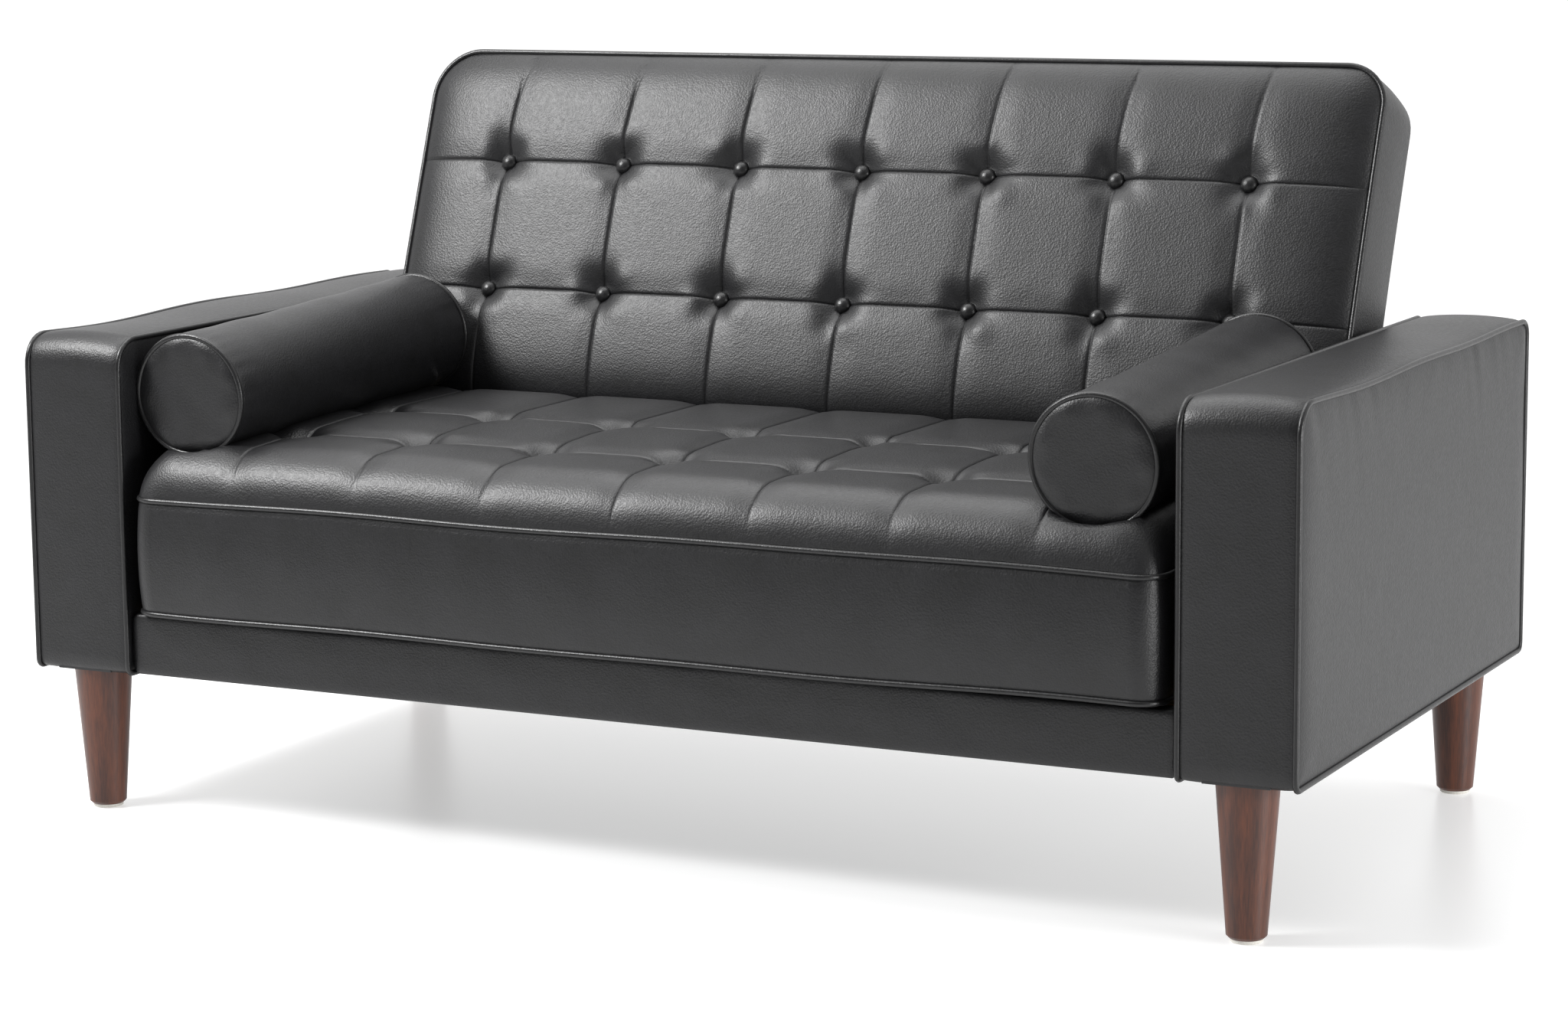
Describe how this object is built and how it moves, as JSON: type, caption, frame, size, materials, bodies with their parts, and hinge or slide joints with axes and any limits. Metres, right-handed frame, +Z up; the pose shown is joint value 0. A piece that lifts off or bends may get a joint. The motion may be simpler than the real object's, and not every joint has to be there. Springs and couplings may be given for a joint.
{
  "type": "futon sofa bed",
  "caption": "Two-seat tufted sofa bed with a back that folds down flat, a lifting seat, boxed arms, tapered timber legs and loose bolsters.",
  "frame": {"origin": "on the floor, at the middle of the overall width and depth", "axes": "+X along the sofa, to the right seen from the front; +Y from the front to the back; +Z up"},
  "size_m": [1.524, 0.797, 0.8409],
  "materials": {
    "upholstery": "semi-gloss pebbled faux leather",
    "piping": "semi-gloss",
    "buttons": "semi-gloss",
    "leg_wood": "satin walnut stain",
    "frame_wood": "unfinished pine and plywood",
    "foam": "open-cell foam",
    "dust_cloth": "non-woven cloth",
    "webbing": "woven elastic",
    "hinge_steel": "satin black",
    "fasteners": "zinc plated",
    "spring_steel": "oiled",
    "rubber": "matte",
    "glide": "matte"
  },
  "bodies": {
    "base": {"arm_frame_left": "frame_wood", "arm_padding_left": "foam", "arm_cover_left": "upholstery", "arm_piping_left": "piping", "side_rail_left": "frame_wood", "hinge_base_left": "hinge_steel", "fold_bolt_left": "fasteners", "leg_front_left": "leg_wood", "leg_rear_left": "leg_wood", "arm_frame_right": "frame_wood", "arm_padding_right": "foam", "arm_cover_right": "upholstery", "arm_piping_right": "piping", "side_rail_right": "frame_wood", "hinge_base_right": "hinge_steel", "fold_bolt_right": "fasteners", "leg_front_right": "leg_wood", "leg_rear_right": "leg_wood", "leg_plates": "hinge_steel", "leg_bolts": "fasteners", "leg_glides": "glide", "front_rail": "frame_wood", "rear_rail": "frame_wood", "front_rail_cover": "upholstery", "rear_rail_cover": "upholstery", "centre_beam": "frame_wood", "corner_blocks": "frame_wood", "rail_bolts": "fasteners", "rest_pads": "rubber", "dust_cloth": "dust_cloth"},
    "seat": {"seat_front_board": "frame_wood", "seat_rear_board": "frame_wood", "seat_side_board_left": "frame_wood", "seat_side_board_right": "frame_wood", "seat_springs": "spring_steel", "seat_foam": "foam", "seat_cover": "upholstery", "seat_piping": "piping", "seat_buttons": "buttons", "seat_leaf_left": "hinge_steel", "seat_leaf_right": "hinge_steel"},
    "back": {"back_top_board": "frame_wood", "back_bottom_board": "frame_wood", "back_side_board_left": "frame_wood", "back_side_board_right": "frame_wood", "back_webbing": "webbing", "back_foam": "foam", "back_cover": "upholstery", "back_piping": "piping", "back_buttons": "buttons", "back_leaf_left": "hinge_steel", "back_leaf_right": "hinge_steel"},
    "bolster_left": {"bolster_core_left": "foam", "bolster_cover_left": "upholstery", "bolster_piping_left": "piping"},
    "pawl_left": {"hinge_pawl_left": "hinge_steel"},
    "bolster_right": {"bolster_core_right": "foam", "bolster_cover_right": "upholstery", "bolster_piping_right": "piping"},
    "pawl_right": {"hinge_pawl_right": "hinge_steel"}
  },
  "joints": [
    {"name": "seat_lift", "type": "hinge", "parent": "base", "child": "seat", "pos_m": [0, 0.1435, 0.417], "axis": [-1, 0, 0], "range_deg": [0, 15]},
    {"name": "back_fold", "type": "hinge", "parent": "base", "child": "back", "pos_m": [0, 0.1435, 0.417], "axis": [-1, 0, 0], "range_deg": [0, 69.75]},
    {"name": "bolster_left_lift_off", "type": "slide", "parent": "seat", "child": "bolster_left", "axis": [0, -0.6, 0.8], "range_m": [0, 0.2]},
    {"name": "bolster_right_lift_off", "type": "slide", "parent": "seat", "child": "bolster_right", "axis": [0, -0.6, 0.8], "range_m": [0, 0.2]},
    {"name": "pawl_left_turn", "type": "hinge", "parent": "base", "child": "pawl_left", "pos_m": [0, 0.1395, 0.365], "axis": [1, 0, 0], "range_deg": [0, 12], "stiffness_Nm_per_rad": 0.2, "springref_deg": -17.19},
    {"name": "pawl_right_turn", "type": "hinge", "parent": "base", "child": "pawl_right", "pos_m": [0, 0.1395, 0.365], "axis": [1, 0, 0], "range_deg": [0, 12], "stiffness_Nm_per_rad": 0.2, "springref_deg": -17.19}
  ]
}
